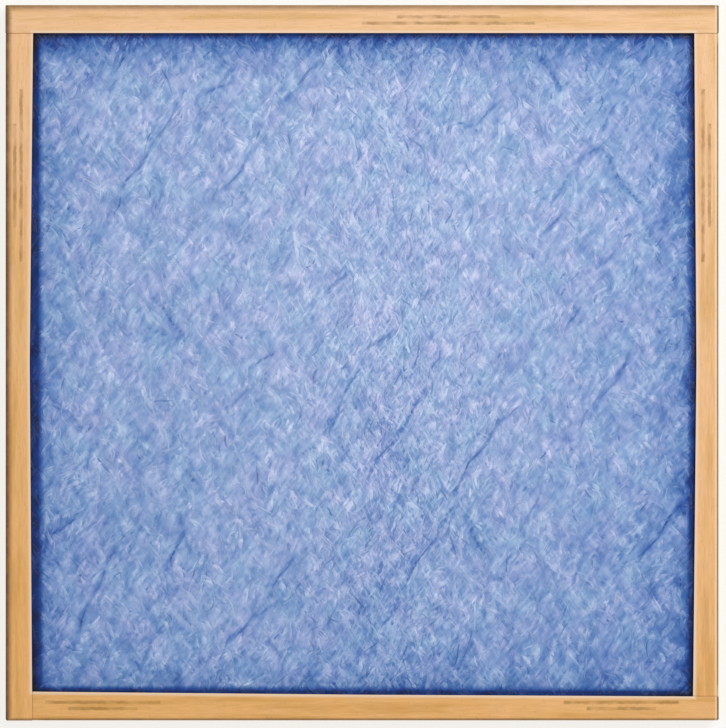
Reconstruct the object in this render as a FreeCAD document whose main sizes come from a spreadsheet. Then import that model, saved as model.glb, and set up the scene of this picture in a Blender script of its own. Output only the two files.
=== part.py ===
import FreeCAD, Part
import Sketcher
import math
import os

# A fiberglass furnace filter, in millimetres. One strip of paperboard is folded to a channel and wrapped
# round the four sides of a pad of spun glass. The filter lies on its back flanges with +Z up, and air
# enters from above. The origin is the middle of the back face.

# Driving sizes: each cell's alias, its value and what it is
SIZES = (
    ("outer_width", 495.3, "frame along X, outside"),
    ("outer_length", 497.0, "frame along Y, outside"),
    ("frame_depth", 22.2, "frame from back face to front face"),
    ("board", 0.65, "thickness of the paperboard"),
    ("fold_inside", 1.3, "inside radius of the strip's two long folds"),
    ("corner_inside", 0.6, "inside radius of the strip's upright folds"),
    ("top_flange", 19.5, "front flange of the top side"),
    ("left_flange_upper", 19.3, "front flange of the left side, upper end"),
    ("left_flange_middle", 16.8, "front flange of the left side, half way"),
    ("left_flange_lower", 18.6, "front flange of the left side, lower end"),
    ("right_flange_upper", 17.0, "front flange of the right side, upper end"),
    ("right_flange_middle", 15.4, "front flange of the right side, half way"),
    ("right_flange_lower", 17.9, "front flange of the right side, lower end"),
    ("bottom_flange_left", 20.2, "front flange of the bottom side, left end"),
    ("bottom_flange_middle", 17.9, "front flange of the bottom side, half way"),
    ("bottom_flange_right", 16.6, "front flange of the bottom side, right end"),
    ("back_flange", 19.0, "back flange of all four sides"),
    ("lap_gap", 0.6, "from a covering flange's edge to where the covered one rises"),
    ("lap_rise", 9.0, "length over which a covered flange rises by one board"),
    ("tab_length", 26.0, "glued tab that closes the strip, fold to end"),
    ("tab_taper", 3.0, "how much the tab narrows towards its end, on each side"),
    ("tab_margin", 1.0, "from the tab's fold to the wall's straight stretch"),
    ("pad_gap", 0.3, "between the pad and the board round it"),
    ("rim_recess", 3.6, "pad's front rim, below the frame's front face"),
    ("crown_recess", 1.6, "pad's front in the middle, below the frame's front face"),
    ("roll_width", 16.0, "width over which the pad's face rises from its rim"),
    ("back_swell", 0.5, "how far the pad's back swells into the back window"),
    ("strand_pitch", 28.0, "from one bundle of strands to the next"),
    ("strand_lean", 30.0, "lean of the bundles to either side of Y, degrees"),
    ("strand_relief", 0.9, "height of the bundles, from their feet to their tops"),
    ("back_relief", 0.2, "height of the bundles on the pad's back"),
    ("strand_sway", 170.0, "length of a bundle's sideways wave"),
    ("net_step", 9.0, "spacing of the net of points that shapes the pad's front"),
    ("back_net_step", 20.0, "spacing of the net of points that shapes the pad's back"),
)

PARTS_FOLDER = "parts"
FACE_DEGREE = 3
SWAY_TURN = 1.3  # radians by which the sideways wave shifts a bundle
FAINT_SHARE = 0.7  # height of the fainter family of bundles, against the stronger one
RIGHT_ANGLE = math.pi / 2
LEVEL = 1e-9  # a direction whose rise is under this is level

# The four sides, counter-clockwise: name, length, turn in degrees, the corner it starts from, its front
# flange at its start, half way and at its end, and the flange that covers its start and its end. A side
# with no cover at an end lies over its neighbour there.
SIDES = (
    ("bottom_side", "outer_width", 0, (-1, -1),
     ("bottom_flange_left", "bottom_flange_middle", "bottom_flange_right"), ("left_flange_lower", None)),
    ("right_side", "outer_length", 90, (1, -1),
     ("right_flange_lower", "right_flange_middle", "right_flange_upper"), ("bottom_flange_right", "top_flange")),
    ("top_side", "outer_width", 180, (1, 1),
     ("top_flange", "top_flange", "top_flange"), (None, None)),
    ("left_side", "outer_length", 270, (-1, 1),
     ("left_flange_upper", "left_flange_middle", "left_flange_lower"), ("top_flange", None)),
)


def write_sizes(doc):
    """The spreadsheet of driving sizes: a note in column A, the value in column B under its alias."""
    sheet = doc.addObject("Spreadsheet::Sheet", "Sizes")
    for row, (alias, value, note) in enumerate(SIZES, start=1):
        sheet.set(f"A{row}", note)
        sheet.set(f"B{row}", str(value))
        sheet.setAlias(f"B{row}", alias)
    doc.recompute()
    return sheet


def cell(alias):
    """A size of the spreadsheet, as other objects' expressions name it."""
    return f"Sizes.{alias}"


# Sketches

def sketch_on(body, name, role, height):
    """An empty sketch on one of the body's origin planes, moved along its normal by an expression."""
    sketch = body.newObject("Sketcher::SketchObject", name)
    plane = next(feature for feature in body.Origin.OriginFeatures if feature.Role == role)
    sketch.AttachmentSupport = (plane, [""])
    sketch.MapMode = "FlatFace"
    sketch.setExpression("AttachmentOffset.Base.z", height)
    return sketch


def worth(sketch, expression):
    """An expression's value now, for where a sketch's lines are first drawn."""
    return float(sketch.evalExpression(expression))


def draw_outline(sketch, corners):
    """A closed outline drawn counter-clockwise through right-angled or sharp corners, each (x, y, radius).

    A corner with a radius gets an arc that is tangent to both of its lines. Returns the index of the line
    that leaves each corner, and of the arc at each corner or None.
    """
    points = [FreeCAD.Vector(x, y, 0) for x, y, _ in corners]
    radii = [radius for _, _, radius in corners]
    count = len(corners)
    ways = [(points[(k + 1) % count] - points[k]).normalize() for k in range(count)]
    lines = []
    for k in range(count):
        after = (k + 1) % count
        start = points[k] + ways[k] * radii[k]
        end = points[after] - ways[k] * radii[after]
        lines.append(sketch.addGeometry(Part.LineSegment(start, end)))
        if abs(ways[k].y) < LEVEL:
            sketch.addConstraint(Sketcher.Constraint("Horizontal", lines[k]))
        elif abs(ways[k].x) < LEVEL:
            sketch.addConstraint(Sketcher.Constraint("Vertical", lines[k]))
    arcs = []
    for k in range(count):
        before = lines[k - 1]
        if not radii[k]:
            arcs.append(None)
            sketch.addConstraint(Sketcher.Constraint("Coincident", before, 2, lines[k], 1))
            continue
        arriving, leaving = ways[k - 1], ways[k]
        centre = points[k] - arriving * radii[k] + leaving * radii[k]
        turns_left = arriving.cross(leaving).z > 0
        spoke = leaving * -1 if turns_left else arriving
        first = math.atan2(spoke.y, spoke.x)
        circle = Part.Circle(centre, FreeCAD.Vector(0, 0, 1), radii[k])
        arcs.append(sketch.addGeometry(Part.ArcOfCircle(circle, first, first + RIGHT_ANGLE)))
        met_first, met_last = (1, 2) if turns_left else (2, 1)
        sketch.addConstraint(Sketcher.Constraint("Tangent", before, 2, arcs[k], met_first))
        sketch.addConstraint(Sketcher.Constraint("Tangent", arcs[k], met_last, lines[k], 1))
    return lines, arcs


def drive(sketch, kind, geometry, expression):
    """A constraint whose size follows an expression."""
    index = sketch.addConstraint(Sketcher.Constraint(kind, *geometry, worth(sketch, expression)))
    sketch.setExpression(f"Constraints[{index}]", expression)


def draw_rectangle(sketch, half_width, half_length, radius):
    """A rectangle about the sketch's origin with its four corners rounded."""
    x, y, r = (worth(sketch, expression) for expression in (half_width, half_length, radius))
    lines, arcs = draw_outline(sketch, [(-x, -y, r), (x, -y, r), (x, y, r), (-x, y, r)])
    low, right, high, left = lines
    drive(sketch, "DistanceX", (left, 1, -1, 1), half_width)
    drive(sketch, "DistanceX", (-1, 1, right, 1), half_width)
    drive(sketch, "DistanceY", (low, 1, -1, 1), half_length)
    drive(sketch, "DistanceY", (-1, 1, high, 1), half_length)
    for arc in arcs:
        drive(sketch, "Radius", (arc,), radius)


def draw_channel(sketch, inset, front_flange):
    """The folded strip's cross-section: its wall at X 0, its flanges towards +X, its back face at Y 0.

    A covered end lies one inset further in on both faces, so it is that much shallower on each.
    """
    depth = f"{cell('frame_depth')} - 2 * ({inset})"
    inside = cell("fold_inside")
    outside = f"{inside} + {cell('board')}"
    thick, deep, front, back, inner, outer = (
        worth(sketch, expression)
        for expression in (cell("board"), depth, front_flange, cell("back_flange"), inside, outside)
    )
    lines, arcs = draw_outline(sketch, [
        (0, 0, outer),
        (back, 0, 0),
        (back, thick, 0),
        (thick, thick, inner),
        (thick, deep - thick, inner),
        (front, deep - thick, 0),
        (front, deep, 0),
        (0, deep, outer),
    ])
    back_face, back_edge, _, wall_inside, _, front_edge, front_face, wall_outside = lines
    sketch.addConstraint(Sketcher.Constraint("PointOnObject", back_face, 1, -1))
    sketch.addConstraint(Sketcher.Constraint("PointOnObject", wall_outside, 1, -2))
    drive(sketch, "DistanceX", (-1, 1, back_edge, 1), cell("back_flange"))
    drive(sketch, "DistanceX", (-1, 1, front_edge, 1), front_flange)
    drive(sketch, "DistanceX", (-1, 1, wall_inside, 1), cell("board"))
    drive(sketch, "DistanceY", (back_edge, 1, back_edge, 2), cell("board"))
    drive(sketch, "DistanceY", (front_edge, 1, front_edge, 2), cell("board"))
    drive(sketch, "DistanceY", (-1, 1, front_face, 1), depth)
    for corner, radius in ((0, outside), (3, inside), (4, inside), (7, outside)):
        drive(sketch, "Radius", (arcs[corner],), radius)
    sketch.setExpression("AttachmentOffset.Base.y", inset)


# The folded strip

def side_stations(length, covers):
    """Where along a side its cross-section changes, from its start, as pairs of place and inset.

    A covered end starts inside its neighbour's wall, one board further in on both faces. Past the edge of
    the flange that covers it, it rises to the face of the frame.
    """
    ends = []
    for cover in covers:
        if cover:
            lap = f"max({cell(cover)}; {cell('back_flange')}) + {cell('lap_gap')}"
            board = cell("board")
            ends.append([(board, board), (lap, board), (f"{lap} + {cell('lap_rise')}", "0")])
        else:
            ends.append([("0", "0")])
    start, end = ends
    return start + [(f"{length} / 2", "0")] + [(f"{length} - ({place})", inset) for place, inset in end[::-1]]


def flange_at(place, length, flanges):
    """A front flange's width at a place along its side. It runs straight from each end to the middle."""
    at_start, at_middle, at_end = (cell(flange) for flange in flanges)
    half = f"({length} / 2)"
    along = f"({place}) / {half}"
    return (
        f"{at_middle} + ({at_start} - {at_middle}) * max(0; 1 - {along})"
        f" + ({at_end} - {at_middle}) * max(0; {along} - 1)"
    )


def make_side(doc, name, length_alias, turn, corner, flanges, covers):
    """One side of the strip: a channel along X from the origin, lofted through its cross-sections and
    turned to its place round the filter."""
    body = doc.addObject("PartDesign::Body", name)
    length = cell(length_alias)
    sections = []
    for place, inset in side_stations(length, covers):
        section = sketch_on(body, f"{name}_section", "YZ_Plane", place)
        draw_channel(section, inset, flange_at(place, length, flanges))
        sections.append(section)
    loft = body.newObject("PartDesign::AdditiveLoft", f"{name}_channel")
    loft.Profile = sections[0]
    loft.Sections = sections[1:]
    loft.Ruled = True
    body.Placement.Rotation = FreeCAD.Rotation(FreeCAD.Vector(0, 0, 1), turn)
    body.setExpression("Placement.Base.x", f"{corner[0]} * {cell('outer_width')} / 2")
    body.setExpression("Placement.Base.y", f"{corner[1]} * {cell('outer_length')} / 2")
    return body


def make_pad_feature(body, name, sketch, length):
    """A straight extrusion of a sketch along its normal."""
    pad = body.newObject("PartDesign::Pad", name)
    pad.Profile = sketch
    pad.setExpression("Length", length)
    return pad


def make_wall(doc):
    """The strip's wall between its long folds, all the way round, with rounded upright folds."""
    body = doc.addObject("PartDesign::Body", "wall_band")
    low = f"2 * {cell('board')} + {cell('fold_inside')}"
    ring = sketch_on(body, "wall_ring", "XY_Plane", low)
    half_width = f"{cell('outer_width')} / 2"
    half_length = f"{cell('outer_length')} / 2"
    board = cell("board")
    inside = cell("corner_inside")
    draw_rectangle(ring, half_width, half_length, f"{inside} + {board}")
    draw_rectangle(ring, f"{half_width} - {board}", f"{half_length} - {board}", inside)
    make_pad_feature(body, "wall_round", ring, f"{cell('frame_depth')} - 2 * ({low})")
    return body


def make_tab(doc):
    """The glued tab that closes the strip: inside the right wall, folded from the top one."""
    body = doc.addObject("PartDesign::Body", "glue_tab")
    board = cell("board")
    fold = f"{cell('outer_length')} / 2 - {board}"
    end = f"{fold} - {cell('tab_length')}"
    low = f"2 * {board} + {cell('fold_inside')} + {cell('tab_margin')}"
    high = f"{cell('frame_depth')} - ({low})"
    end_low = f"{low} + {cell('tab_taper')}"
    end_high = f"{high} - {cell('tab_taper')}"
    sketch = sketch_on(body, "tab_outline", "YZ_Plane", f"{cell('outer_width')} / 2 - 2 * {board}")
    corners = ((end, end_low), (fold, low), (fold, high), (end, end_high))
    lines, _ = draw_outline(sketch, [(worth(sketch, y), worth(sketch, z), 0) for y, z in corners])
    drive(sketch, "DistanceX", (-1, 1, lines[0], 1), end)
    drive(sketch, "DistanceX", (-1, 1, lines[1], 1), fold)
    for line, (_, height) in zip(lines, corners):
        drive(sketch, "DistanceY", (-1, 1, line, 1), height)
    make_pad_feature(body, "tab_board", sketch, board)
    return body


def make_envelope(doc):
    """The block with rounded upright edges that the wrapped strip fills, which trims its corners."""
    body = doc.addObject("PartDesign::Body", "envelope")
    outline = sketch_on(body, "envelope_outline", "XY_Plane", "0")
    radius = f"{cell('corner_inside')} + {cell('board')}"
    draw_rectangle(outline, f"{cell('outer_width')} / 2", f"{cell('outer_length')} / 2", radius)
    make_pad_feature(body, "envelope_block", outline, cell("frame_depth"))
    return body


def make_frame(doc):
    """The whole strip: four sides, the wall round the corners and the tab, joined and trimmed."""
    strip = doc.addObject("Part::MultiFuse", "strip")
    strip.Shapes = [make_side(doc, *side) for side in SIDES] + [make_wall(doc), make_tab(doc)]
    strip.Refine = True
    frame = doc.addObject("Part::MultiCommon", "frame")
    frame.Shapes = [strip, make_envelope(doc)]
    frame.Refine = True
    return frame


# The pad of spun glass

def ease(share):
    """A smooth rise from 0 to 1 as its share does."""
    share = min(max(share, 0.0), 1.0)
    return share * share * (3 - 2 * share)


def inside_window(size, flanges, x, y):
    """How far a point lies inside a window whose left, right, bottom and top flanges are given."""
    left, right, bottom, top = flanges
    return min(
        size["outer_width"] / 2 + x - left,
        size["outer_width"] / 2 - x - right,
        size["outer_length"] / 2 + y - bottom,
        size["outer_length"] / 2 - y - top,
    )


def bundles(size, x, y):
    """Height of the strand bundles from 0 to 1: two crossing families of swaying ridges, the higher one
    of the two at each point. A ridge is a cosine of the distance across its family, shifted along its
    length by a slow sideways wave."""
    lean = math.radians(size["strand_lean"])
    heights = []
    for side, share in ((1, 1.0), (-1, FAINT_SHARE)):
        across = x * math.cos(lean) - side * y * math.sin(lean)
        along = side * x * math.sin(lean) + y * math.cos(lean)
        sway = SWAY_TURN * math.sin(2 * math.pi * along / size["strand_sway"] + side)
        ridge = math.cos(2 * math.pi * across / size["strand_pitch"] + sway)
        heights.append(share * (1 + ridge) / 2)
    return max(heights)


def front_height(size, x, y):
    """The pad's front: level at its rim, rolled up inside the front window and ridged by its strands."""
    flanges = (
        size["left_flange_middle"], size["right_flange_middle"], size["bottom_flange_middle"],
        size["top_flange"],
    )
    rise = ease(inside_window(size, flanges, x, y) / size["roll_width"])
    crown = size["rim_recess"] - size["crown_recess"]
    ridges = size["strand_relief"] * (bundles(size, x, y) - 0.5)
    return size["frame_depth"] - size["rim_recess"] + rise * (crown + ridges)


def back_height(size, x, y):
    """The pad's back: level where it lies on the lapped corners of the back flanges, and swelling a
    little through the back window."""
    flanges = (size["back_flange"],) * 4
    rise = ease(inside_window(size, flanges, x, y) / size["roll_width"])
    ridges = size["back_relief"] * (bundles(size, -x, y) - 0.5)
    return 2 * size["board"] + size["pad_gap"] - rise * (size["back_swell"] + ridges)


def spline_face(xs, ys, height):
    """A smooth face through a net of control points over xs and ys, whose outer rows are its edges."""
    def knots(points):
        spans = len(points) - FACE_DEGREE
        return list(range(spans + 1)), [FACE_DEGREE + 1] + [1] * (spans - 1) + [FACE_DEGREE + 1]

    poles = [[FreeCAD.Vector(x, y, height(x, y)) for y in ys] for x in xs]
    (u_knots, u_times), (v_knots, v_times) = knots(xs), knots(ys)
    surface = Part.BSplineSurface()
    surface.buildFromPolesMultsKnots(
        poles, u_times, v_times, u_knots, v_knots, False, False, FACE_DEGREE, FACE_DEGREE
    )
    return surface.toShape()


def spread(half, step):
    """Places from -half to half, about a step apart."""
    count = round(2 * half / step)
    return [half * (2 * k / count - 1) for k in range(count + 1)]


def make_media_pad(doc, sheet):
    """The pad: its front and back faces and four upright sides, sewn into one solid."""
    size = {alias: sheet.get(alias) for alias, _, _ in SIZES}
    edge = 2 * size["board"] + size["pad_gap"]
    half_x = size["outer_width"] / 2 - edge
    half_y = size["outer_length"] / 2 - edge
    front, back = (
        spline_face(spread(half_x, step), spread(half_y, step), lambda x, y: height(size, x, y))
        for height, step in ((front_height, size["net_step"]), (back_height, size["back_net_step"]))
    )
    faces = [front, back]
    for above in front.Edges:
        below = min(back.Edges, key=lambda edge: (edge.CenterOfMass - above.CenterOfMass).Length)
        ends = [
            Part.makeLine(vertex.Point, min((v.Point for v in below.Vertexes), key=vertex.Point.distanceToPoint))
            for vertex in above.Vertexes
        ]
        faces.append(Part.Face(Part.Wire(Part.__sortEdges__([above, below] + ends))))
    shell = Part.makeShell(faces)
    shell.sewShape()
    pad = doc.addObject("Part::Feature", "media_pad")
    pad.Shape = Part.Solid(shell)
    pad.Placement = FreeCAD.Placement()
    return pad


def check(doc, exported):
    """Stops if an object failed or a piece isn't one sound solid."""
    for item in doc.Objects:
        if {"Invalid", "Error"} & set(item.State):
            raise RuntimeError(f"{item.Name} failed: {item.State}")
    for piece in exported:
        shape = piece.Shape
        if shape.isNull() or not shape.isValid() or len(shape.Solids) != 1 or shape.Volume <= 0:
            raise RuntimeError(f"{piece.Label} isn't one sound solid")


def main():
    doc = FreeCAD.newDocument("furnace_filter")
    sheet = write_sizes(doc)
    exported = [make_frame(doc), make_media_pad(doc, sheet)]
    doc.recompute()
    check(doc, exported)
    os.makedirs(PARTS_FOLDER, exist_ok=True)
    for piece in exported:
        box = piece.Shape.BoundBox
        print(piece.Label, round(piece.Shape.Volume), [round(v, 2) for v in (box.XLength, box.YLength, box.ZLength)])
        piece.Shape.exportStep(f"{PARTS_FOLDER}/{piece.Label}.step")


main()
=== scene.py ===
import math

import bpy
import numpy as np
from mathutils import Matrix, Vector


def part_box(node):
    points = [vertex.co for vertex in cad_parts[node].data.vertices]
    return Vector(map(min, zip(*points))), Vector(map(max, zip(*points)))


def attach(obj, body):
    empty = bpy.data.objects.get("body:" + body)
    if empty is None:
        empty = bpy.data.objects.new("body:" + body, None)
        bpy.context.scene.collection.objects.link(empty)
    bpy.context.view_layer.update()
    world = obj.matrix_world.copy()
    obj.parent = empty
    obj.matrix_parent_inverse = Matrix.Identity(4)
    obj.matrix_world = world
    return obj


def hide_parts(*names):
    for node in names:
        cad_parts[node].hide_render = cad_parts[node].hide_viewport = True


# A fiberglass furnace filter lying on its back flanges. The folded board frame keeps its shape and gets its
# finish here. The pad of spun glass is a matted bed under thousands of loose strands, on both of its faces.
# Lengths are in metres, and colours on screen go from 0 to 255. The front, which air enters, faces up.

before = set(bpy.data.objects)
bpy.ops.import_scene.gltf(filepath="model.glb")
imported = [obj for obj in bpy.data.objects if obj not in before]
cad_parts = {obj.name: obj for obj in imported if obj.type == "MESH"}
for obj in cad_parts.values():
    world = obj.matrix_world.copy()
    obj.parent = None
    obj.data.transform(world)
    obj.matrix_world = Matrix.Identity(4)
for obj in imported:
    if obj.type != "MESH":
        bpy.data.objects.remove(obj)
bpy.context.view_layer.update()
MM = 0.001

PAD_LOW, PAD_HIGH = (np.array(corner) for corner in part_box("media_pad"))
HALF_X, HALF_Y, FRONT = np.array(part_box("frame")[1])

# The flanges' widths at their lower or left end, half way and at their upper or right end
LEFT_FLANGE = (18.6 * MM, 16.8 * MM, 19.3 * MM)
RIGHT_FLANGE = (17.9 * MM, 15.4 * MM, 17.0 * MM)
BOTTOM_FLANGE = (20.2 * MM, 17.9 * MM, 16.6 * MM)
TOP_FLANGE = (19.5 * MM, 19.5 * MM, 19.5 * MM)
BACK_FLANGE = (19.0 * MM, 19.0 * MM, 19.0 * MM)

# How far the bed lies under the frame's front at its rim and its crown, and inside the frame's back, into
# whose window it swells. Then the width of its rolled edge, the step of its grid, the height and size of its
# bundles, and the depth of a groove
RIM_RECESS = 3.6 * MM
CROWN_RECESS = 2.4 * MM
BACK_RECESS = 1.6 * MM
BACK_SWELL = 0.5 * MM
ROLL_WIDTH = 15 * MM
BED_STEP = 2.3 * MM
BED_RELIEF = 0.8 * MM
BACK_RELIEF = 0.3 * MM
BUNDLE_WIDTH = 6 * MM
BUNDLE_LENGTH = 24 * MM
GROOVE = 0.9 * MM

# The strands lean to either side of Y by this angle, times a share that is largest at the pad's edges and
# drops towards its middle. They lie in locks, in a thin pile, and a share of the locks leans right
LEAN = math.radians(30)
OUTER_LEAN = 1.1
LEAN_DROP = 0.35
RIGHT_LEANING = 0.52
PILE = 0.3 * MM

# A lock turns with a slow field, scatters about its lean and bends, in radians, and has a tone of its own
LOCK_FIELD = 24 * MM
LOCK_TURN = 0.9
LOCK_SCATTER = 0.2
LOCK_BEND = 0.6
LOCK_TONE = 0.04

# How a strand's place scatters about its lock's middle, as shares of its layer's width and length, and its
# heading about its lock's, in radians. A share of the strands curls, and each sways by its own turns
STRAND_ASIDE = 0.9
STRAND_ONWARD = 0.2
STRAND_SCATTER = 0.10
CURLED = 0.08
CURL = 1.5
SWAY = 0.2
SWAY_TURNS = (0.5, 1.3)

# How a strand's length and width spread about its layer's, and their limits. It weaves up and down by its
# own turns, and its ridge is low for its width. Its arch is the power of a sine cut short at both ends, and
# it dips into the bed where the arch is low
LENGTH_SPREAD = 0.35
LENGTH_LIMITS = (0.5, 2.2)
WIDTH_SPREAD = 0.25
WIDTH_LIMITS = (0.6, 1.7)
WEAVE = 0.10 * MM
WEAVE_TURNS = (1, 2)
STRAND_RISE = 0.05
ARCH_CUT = 0.04
ARCH_POWER = 0.6
DIP = 0.25 * MM

# A strand has a tone of its own, and is paler the higher it lies, as painted light and shade in the pile
STRAND_TONE = 0.015
PILE_SHADE_TONE = 0.03

# How much deeper in tone the deep strands are, and the bed under the strands, as painted shade
DEEP_TONE = 0.20
BED_SHADE = 0.04

# How far the strands keep inside the pad's edges, and the middles of their locks
STRAND_MARGIN = 2 * MM
LOCK_MARGIN = 12 * MM

# How far the pad's dark, pinched rim shows inside the left, right, bottom and top edges of the front
# window, given as the flanges' widths are, and its tone, which wavers in patches. The rim is dark partly as
# pinched glass and partly as painted shade
RIM_AND_SHADE_SHOWN = (
    (6.8 * MM, 7.7 * MM, 4.8 * MM),
    (4.5 * MM, 4.5 * MM, 3.9 * MM),
    (2.9 * MM, 4.5 * MM, 5.0 * MM),
    (2.6 * MM, 3.9 * MM, 2.8 * MM),
)
BACK_RIM_AND_SHADE_SHOWN = ((2 * MM, 2 * MM, 2 * MM),) * 4
RIM_FADE = 3.0 * MM
RIM_AND_SHADE_TONE = 0.06
RIM_WAVER = 0.07
RIM_PATCH = 8 * MM

# Painted shade of the dark gap under the flanges' edges: how far it shows inside each edge, and how far it
# runs from the window's corners
GAP_SHADE_SHOWN = (3.6 * MM, 2.8 * MM, 2.2 * MM, 3.4 * MM)
GAP_SHADE_RUN = 34 * MM

# The slow change of tone, much of it painted light and shade. How much deeper it is beside each edge, as
# painted shade, and how far in that reaches. How much paler in the middle, as a painted pool of light whose
# place and reach are given, and well inside the edges, less a mean each, and at the top, as painted light.
# How much deeper in patches near the edges, which fade in from where their noise starts, and, as painted
# shade, at the right and in the corners, and how much it changes in clouds
EDGE_SHADE = (0.19, 0.27, 0.03, 0.48)
EDGE_WIDTH = (9.5 * MM, 9.5 * MM, 9.5 * MM, 11.5 * MM)
MIDDLE = (28 * MM, 30 * MM)
MIDDLE_REACH = (120 * MM, 190 * MM)
MIDDLE_LIGHT, MIDDLE_MEAN = 0.10, 0.35
INSIDE_LIGHT, INSIDE_MEAN = 0.05, 0.7
INSIDE_REACH = 55 * MM
TOP_LIGHT = 0.05
PATCH_DEPTH = 0.13
PATCH_START, PATCH_FADE = 0.45, 0.25
PATCH_SIZE = 17 * MM
PATCH_REACH = 34 * MM
CLOUD_TONE = 0.015
CLOUD_SIZE = 30 * MM
RIGHT_SHADE = 0.012
CORNER_SHADE = 0.10

# The band up the pad in which single strands stand out: its middle and half width across, the height and
# the reach of its strongest part, and its strength away from there
CRISP_X = 24 * MM
CRISP_WIDTH = 55 * MM
CRISP_Y = -55 * MM
CRISP_REACH = 110 * MM
CRISP_LEAST = 0.6

# The mottling: the sway that bends it, and its strength at the pad's edges, being 1 in the middle. Then the
# width and the two lengths of its pale streaks, the width, length and spread of its fine and coarse nets of
# deep lines, and the tone that each adds or takes and its mean
MOTTLE_SWAY = 7 * MM
MOTTLE_PATCH = 21 * MM
MOTTLE_OUTER = 1.25
PALE_STREAKS = (1.8 * MM, (8 * MM, 7 * MM))
PALE_TONE, PALE_MEAN = 0.22, 0.62
FINE_NET = (3.1 * MM, 13 * MM, 0.16)
FINE_TONE, FINE_MEAN = 0.15, 0.62
COARSE_NET = (9 * MM, 40 * MM, 0.05)
COARSE_TONE, COARSE_MEAN = 0.08, 0.32

# Where the strands part, as listed: a line's start and end in millimetres from the middle of the frame, and
# its depth from 0 to 1
PARTINGS = (
    (-26, -50, 6, 12, 0.9), (6, 12, 23, 23, 0.8),
    (2, -81, 26, -47, 0.8), (26, -47, 47, -16, 0.9),
    (64, -88, 96, -40, 1.0), (96, -40, 110, -31, 0.9),
    (26, -158, 65, -99, 0.8), (193, -137, 221, -99, 0.9),
    (-200, -195, -189, -165, 0.6), (-189, -165, -168, -123, 0.75), (-168, -123, -161, -127, 0.6),
    (-67, -165, -47, -133, 0.75), (-95, -196, -74, -175, 0.6), (-74, -175, -60, -168, 0.6),
    (-135, -143, -124, -117, 0.9), (-165, 123, -147, 148, 0.7), (-147, 148, -123, 189, 0.65),
    (-95, 120, -78, 144, 0.75), (-109, 186, -92, 195, 0.7), (-57, 179, -29, 210, 0.7),
    (123, 210, 140, 190, 0.7), (59, 159, 62, 168, 0.7), (62, 168, 77, 165, 0.8), (77, 165, 94, 179, 0.8),
    (155, 143, 166, 150, 0.8), (166, 150, 176, 131, 0.85), (176, 131, 195, 108, 0.8),
    (165, 161, 179, 182, 0.7), (125, 88, 140, 106, 0.85), (133, 114, 154, 144, 0.75),
    (153, 81, 163, 65, 0.6), (163, 65, 180, 82, 0.6),
    (-29, 44, -8, 64, 0.7), (-78, -5, -60, 8, 0.8), (-151, 26, -127, 16, 0.6),
    (-148, 47, -124, 20, 0.6), (141, 23, 158, 44, 0.8), (161, -32, 176, -12, 0.6), (176, -12, 186, 8, 0.6),
    (75, -116, 89, -137, 0.8), (68, -213, 78, -182, 0.65), (12, -186, 26, -165, 0.7),
    (110, -120, 127, -82, 0.55), (154, -131, 172, -141, 0.6), (-89, -29, -78, -15, 0.6),
    (-124, -70, -113, -91, 0.6), (-193, -77, -186, -56, 0.6), (-214, -119, -197, -105, 0.65),
)

# A parting's width and the depth of its painted shade, the sway of its line and the length over which that
# turns, and how far aside of it its strands lie
PARTING_WIDTH = 1.2 * MM
PARTING_SHADE = 0.24
PARTING_SWAY = 1.0 * MM
PARTING_TURN = 6 * MM
PARTING_SCATTER = 0.3 * MM

# A strand is left out where a parting deeper than this crosses it
CLEARED = 0.35

# The glass's colours on screen by tone: from 0, the painted shade of the gap under the flanges, by way of
# the pinched rim, partly painted shade, to 1, the palest strands. Then the open pad's mean tone, how much
# deeper its back is, and the limits of its tone
GLASS_COLOURS = (
    (0.0, (9, 9, 30)),
    (0.06, (14, 46, 112)),
    (0.15, (38, 80, 158)),
    (0.3, (72, 112, 177)),
    (0.45, (105, 138, 194)),
    (0.6, (138, 163, 209)),
    (0.75, (166, 185, 223)),
    (1.0, (214, 222, 248)),
)
GLASS_TONE = 0.68
BACK_DEEPER = 0.05
OPEN_TONES = (0.1, 1)


# Fields over the filter

def ease(share):
    """A smooth rise from 0 to 1 as the share does."""
    share = np.clip(share, 0.0, 1.0)
    return share * share * (3 - 2 * share)


def lattice_noise(x, y, cell, seed):
    """Smooth noise from 0 to 1: random values on a square lattice of the cell's size, eased between its
    points."""
    table = np.random.default_rng(seed).random((257, 257))
    u, v = x / cell + 64.0, y / cell + 64.0
    i, j = np.floor(u).astype(int), np.floor(v).astype(int)
    s, t = ease(u - i), ease(v - j)
    i, j = i % 256, j % 256
    low = table[i, j] * (1 - s) + table[i + 1, j] * s
    high = table[i, j + 1] * (1 - s) + table[i + 1, j + 1] * s
    return low * (1 - t) + high * t


def streak_noise(x, y, lean, width, length, seed):
    """Lattice noise drawn out along a direction that leans from Y by an angle."""
    across = x * math.cos(lean) - y * math.sin(lean)
    along = x * math.sin(lean) + y * math.cos(lean)
    return lattice_noise(across, along * width / length, width, seed)


def crossing_streaks(x, y, width, lengths, seed):
    """Two families of streaks that cross, one along each lean."""
    families = enumerate(zip((LEAN, -LEAN), lengths))
    return [streak_noise(x, y, lean, width, length, seed + place) for place, (lean, length) in families]


def per_side(values, places):
    """One value for each of the window's four sides, shaped to go with an array of places."""
    return np.reshape(values, (4,) + (1,) * places.ndim)


def side_widths(x, y, left, right, bottom, top):
    """The width at each point of a band along each of the four sides, straight from its ends to its
    middle."""
    across, up = x / HALF_X, y / HALF_Y
    sides = ((up, left), (up, right), (across, bottom), (across, top))
    return np.stack([np.interp(place, (-1, 0, 1), widths) for place, widths in sides])


def gaps_inside(x, y, *flanges):
    """How far each point lies inside each of a window's four edges."""
    outside = np.stack([HALF_X + x, HALF_X - x, HALF_Y + y, HALF_Y - y])
    return outside - side_widths(x, y, *flanges)


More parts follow.
